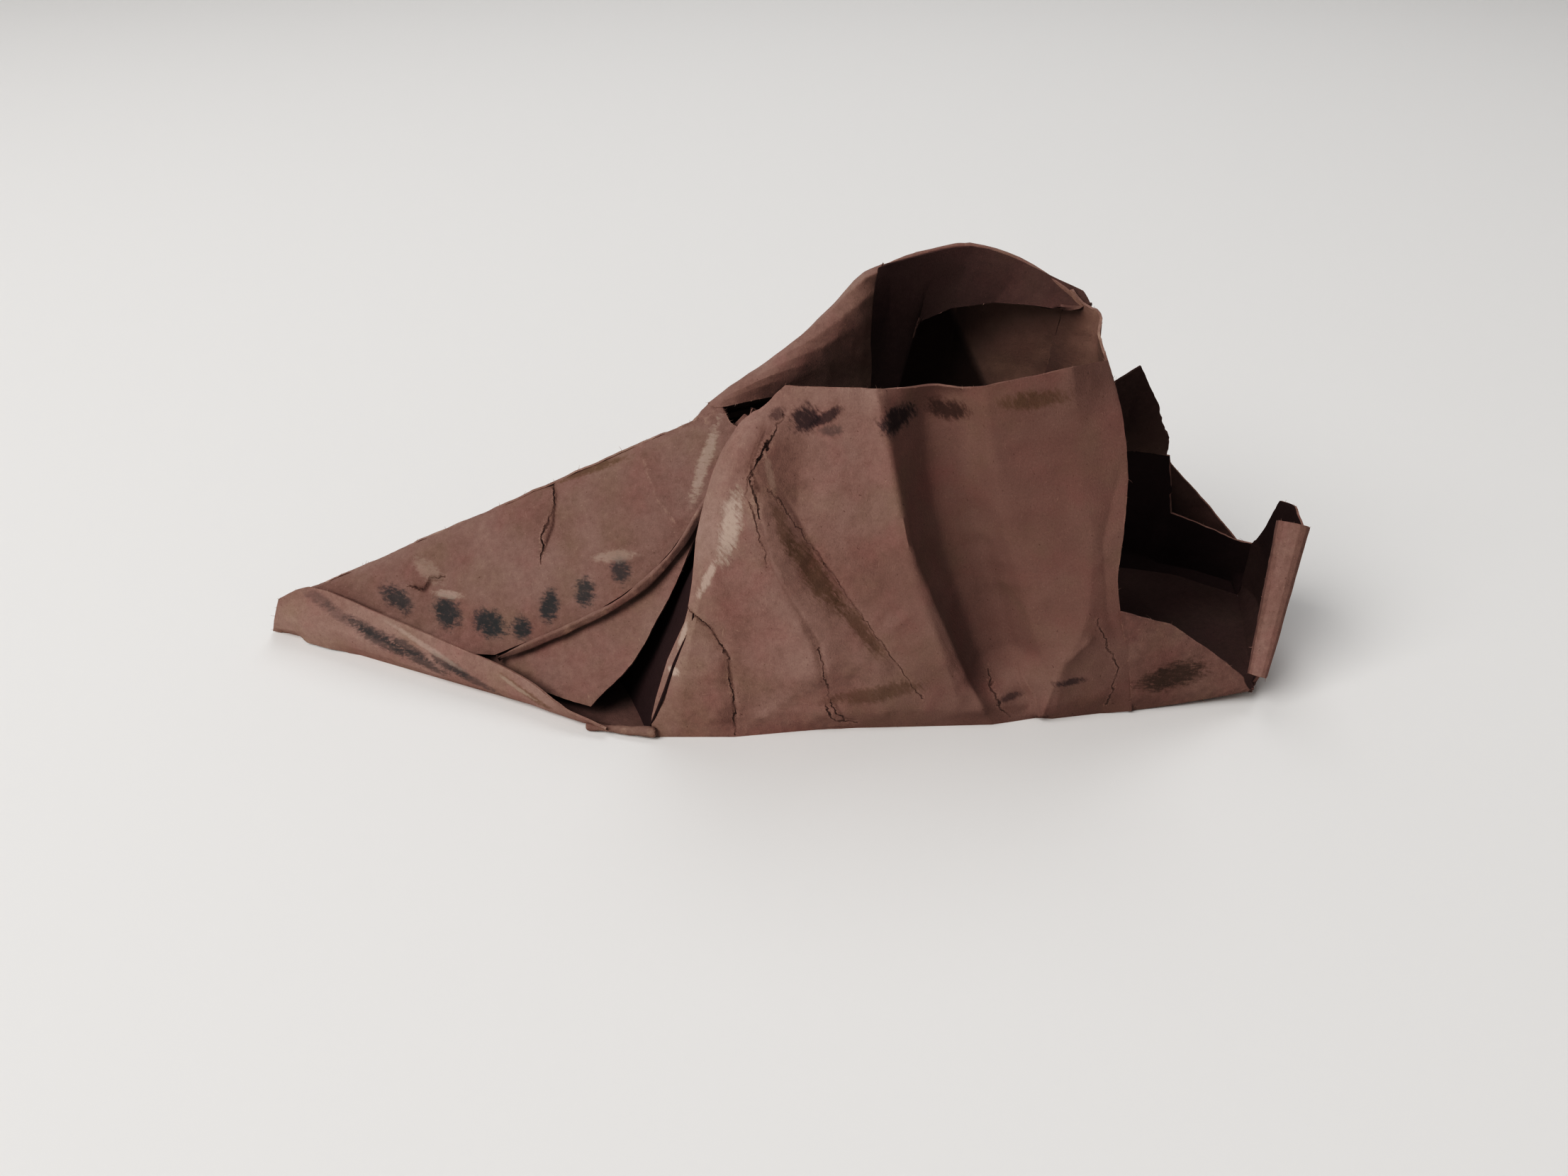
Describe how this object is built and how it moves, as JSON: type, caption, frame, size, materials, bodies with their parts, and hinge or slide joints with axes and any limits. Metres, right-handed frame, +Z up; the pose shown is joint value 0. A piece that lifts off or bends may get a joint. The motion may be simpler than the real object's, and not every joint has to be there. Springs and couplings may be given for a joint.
{
  "type": "paper bag puppet",
  "caption": "Folded brown-paper hand puppet: a long closed beak of layered flaps, a creased pouch under an open hood, and a scoop-shaped tail with a curled end.",
  "frame": {"origin": "under the middle of the puppet's bounding box, on the surface it rests on", "axes": "+X runs from the beak's tip to the tail, along the puppet's length; +Y points to its back; +Z is up"},
  "size_m": [0.2038, 0.0646, 0.0784],
  "materials": {
    "construction_paper": "matt, fibrous, creased and worn"
  },
  "bodies": {
    "sleeve": {"beak_back_panel": "construction_paper", "beak_floor": "construction_paper", "body_front_panel": "construction_paper", "body_side_gusset": "construction_paper", "body_back_panel": "construction_paper", "body_floor": "construction_paper", "tail_apron": "construction_paper", "tail_floor": "construction_paper", "tail_rear_wall": "construction_paper", "tail_end_wall": "construction_paper"},
    "beak_flap": {"beak_outer_flap": "construction_paper", "beak_flap_hem": "construction_paper"},
    "beak_lining": {"beak_inner_flap": "construction_paper"},
    "jaw": {"jaw_fold": "construction_paper"},
    "hood": {"hood_shoulder": "construction_paper", "hood_back_panel": "construction_paper", "hood_rim": "construction_paper", "hood_cuff": "construction_paper", "hood_cheek": "construction_paper"},
    "ear": {"ear_tab": "construction_paper"},
    "tail_curl": {"tail_end_roll": "construction_paper"},
    "tail_gusset": {"tail_outer_gusset": "construction_paper"}
  },
  "joints": [
    {"name": "beak_flap_crease", "type": "hinge", "parent": "sleeve", "child": "beak_flap", "pos_m": [-0.01687, 0.00483, 0.04548], "axis": [-0.908, -0.0334, -0.4177], "range_deg": [0, 12], "stiffness_Nm_per_rad": 0.01},
    {"name": "beak_lining_crease", "type": "hinge", "parent": "sleeve", "child": "beak_lining", "pos_m": [-0.01687, 0.00483, 0.04548], "axis": [-0.908, -0.0334, -0.4177], "range_deg": [-4, 0], "stiffness_Nm_per_rad": 0.01},
    {"name": "jaw_crease", "type": "hinge", "parent": "sleeve", "child": "jaw", "pos_m": [-0.10187, 0.00183, 0.00028], "axis": [0.9195, -0.3931, 0], "range_deg": [0, 60], "stiffness_Nm_per_rad": 0.002},
    {"name": "hood_crease", "type": "hinge", "parent": "sleeve", "child": "hood", "pos_m": [0.0366, 0.0238, 0.0462], "axis": [-1, 0, 0], "range_deg": [0, 10], "stiffness_Nm_per_rad": 0.02},
    {"name": "ear_crease", "type": "hinge", "parent": "sleeve", "child": "ear", "pos_m": [0.066, 0.0172, 0.034], "axis": [1, 0, 0], "range_deg": [-15, 20], "stiffness_Nm_per_rad": 0.005},
    {"name": "tail_curl_crease", "type": "hinge", "parent": "sleeve", "child": "tail_curl", "pos_m": [0.09383, -0.02037, 0.00578], "axis": [0.2446, 0.5101, 0.8246], "range_deg": [0, 30], "stiffness_Nm_per_rad": 0.005},
    {"name": "tail_gusset_crease", "type": "hinge", "parent": "sleeve", "child": "tail_gusset", "pos_m": [0.0686, 0.0308, 0.004], "axis": [0, -0.1146, 0.9934], "range_deg": [0, 15], "stiffness_Nm_per_rad": 0.01}
  ],
  "couplings": [
    {"joint": "jaw_crease", "follows": "beak_flap_crease", "ratio": 5}
  ]
}
